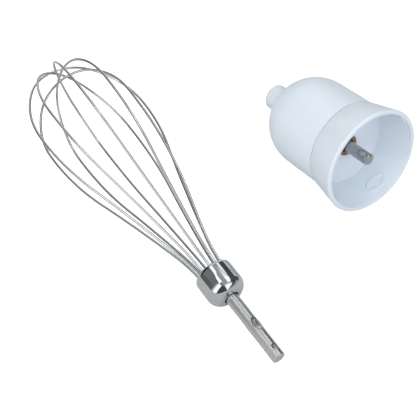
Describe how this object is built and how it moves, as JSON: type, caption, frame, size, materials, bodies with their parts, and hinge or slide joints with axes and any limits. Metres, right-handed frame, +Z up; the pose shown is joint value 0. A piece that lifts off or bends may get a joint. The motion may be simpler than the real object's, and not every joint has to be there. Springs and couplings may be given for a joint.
{
  "type": "immersion blender whisk attachment",
  "caption": "Wire balloon whisk with a polished collar and a dimpled drive stub, lying beside its geared white coupling with a flared mouth.",
  "frame": {"origin": "centre of the whole pair's footprint, on the surface it lies on", "axes": "+X along both pieces, towards the whisk's drive stub and the coupling's mouth; +Y from the whisk to the coupling; +Z up"},
  "size_m": [0.2134, 0.1648, 0.0635],
  "materials": {
    "spring_wire": "bright-drawn stainless wire",
    "polished_steel": "mirror polished stainless steel",
    "satin_steel": "centreless-ground, fine lengthwise lines",
    "grey_plug": "moulded, matt",
    "white_housing": "moulded, satin gloss",
    "sintered_bronze": "sintered, oil-soaked",
    "gear_steel": "hobbed and hardened",
    "gear_acetal": "moulded acetal",
    "spring_steel": "blued spring steel",
    "seal_rubber": "matt nitrile"
  },
  "bodies": {
    "root": {"wire_loop_1": "spring_wire", "wire_loop_2": "spring_wire", "wire_loop_3": "spring_wire", "wire_loop_4": "spring_wire", "wire_loop_5": "spring_wire", "whisk_collar": "polished_steel", "whisk_core": "grey_plug", "whisk_shaft": "satin_steel", "upper_housing": "white_housing", "coupling_skirt": "white_housing", "input_bush": "sintered_bronze", "input_washer": "gear_steel", "gear_cover": "gear_acetal", "ring_gear": "gear_acetal", "output_washer": "gear_steel", "output_bush": "sintered_bronze", "shaft_seal": "seal_rubber"},
    "input": {"input_shaft": "satin_steel", "input_circlip": "spring_steel", "sun_pinion": "gear_steel"},
    "output": {"planet_carrier": "gear_steel", "output_spindle": "gear_steel", "retaining_ring": "spring_steel", "planet_pin_1": "gear_steel", "planet_pin_2": "gear_steel", "planet_pin_3": "gear_steel"},
    "planet_1": {"planet_gear_1": "gear_acetal"},
    "planet_2": {"planet_gear_2": "gear_acetal"},
    "planet_3": {"planet_gear_3": "gear_acetal"}
  },
  "joints": [
    {"name": "input_spin", "type": "hinge", "parent": "root", "child": "input", "pos_m": [0.03004, 0.05261, 0.02806], "axis": [0.9961, 0, 0.0883], "continuous": true},
    {"name": "output_spin", "type": "hinge", "parent": "root", "child": "output", "pos_m": [-0.01977, 0.05261, 0.02364], "axis": [0.9961, 0, 0.0883], "continuous": true},
    {"name": "planet_1_spin", "type": "hinge", "parent": "output", "child": "planet_1", "pos_m": [0.00788, 0.05261, 0.03965], "axis": [0.9961, 0, 0.0883], "continuous": true},
    {"name": "planet_2_spin", "type": "hinge", "parent": "output", "child": "planet_2", "pos_m": [0.00967, 0.04092, 0.01948], "axis": [0.9961, 0, 0.0883], "continuous": true},
    {"name": "planet_3_spin", "type": "hinge", "parent": "output", "child": "planet_3", "pos_m": [0.00967, 0.0643, 0.01948], "axis": [0.9961, 0, 0.0883], "continuous": true}
  ],
  "couplings": [
    {"joint": "output_spin", "follows": "input_spin", "ratio": 0.22222},
    {"joint": "planet_1_spin", "follows": "input_spin", "ratio": -0.62222},
    {"joint": "planet_2_spin", "follows": "input_spin", "ratio": -0.62222},
    {"joint": "planet_3_spin", "follows": "input_spin", "ratio": -0.62222}
  ]
}
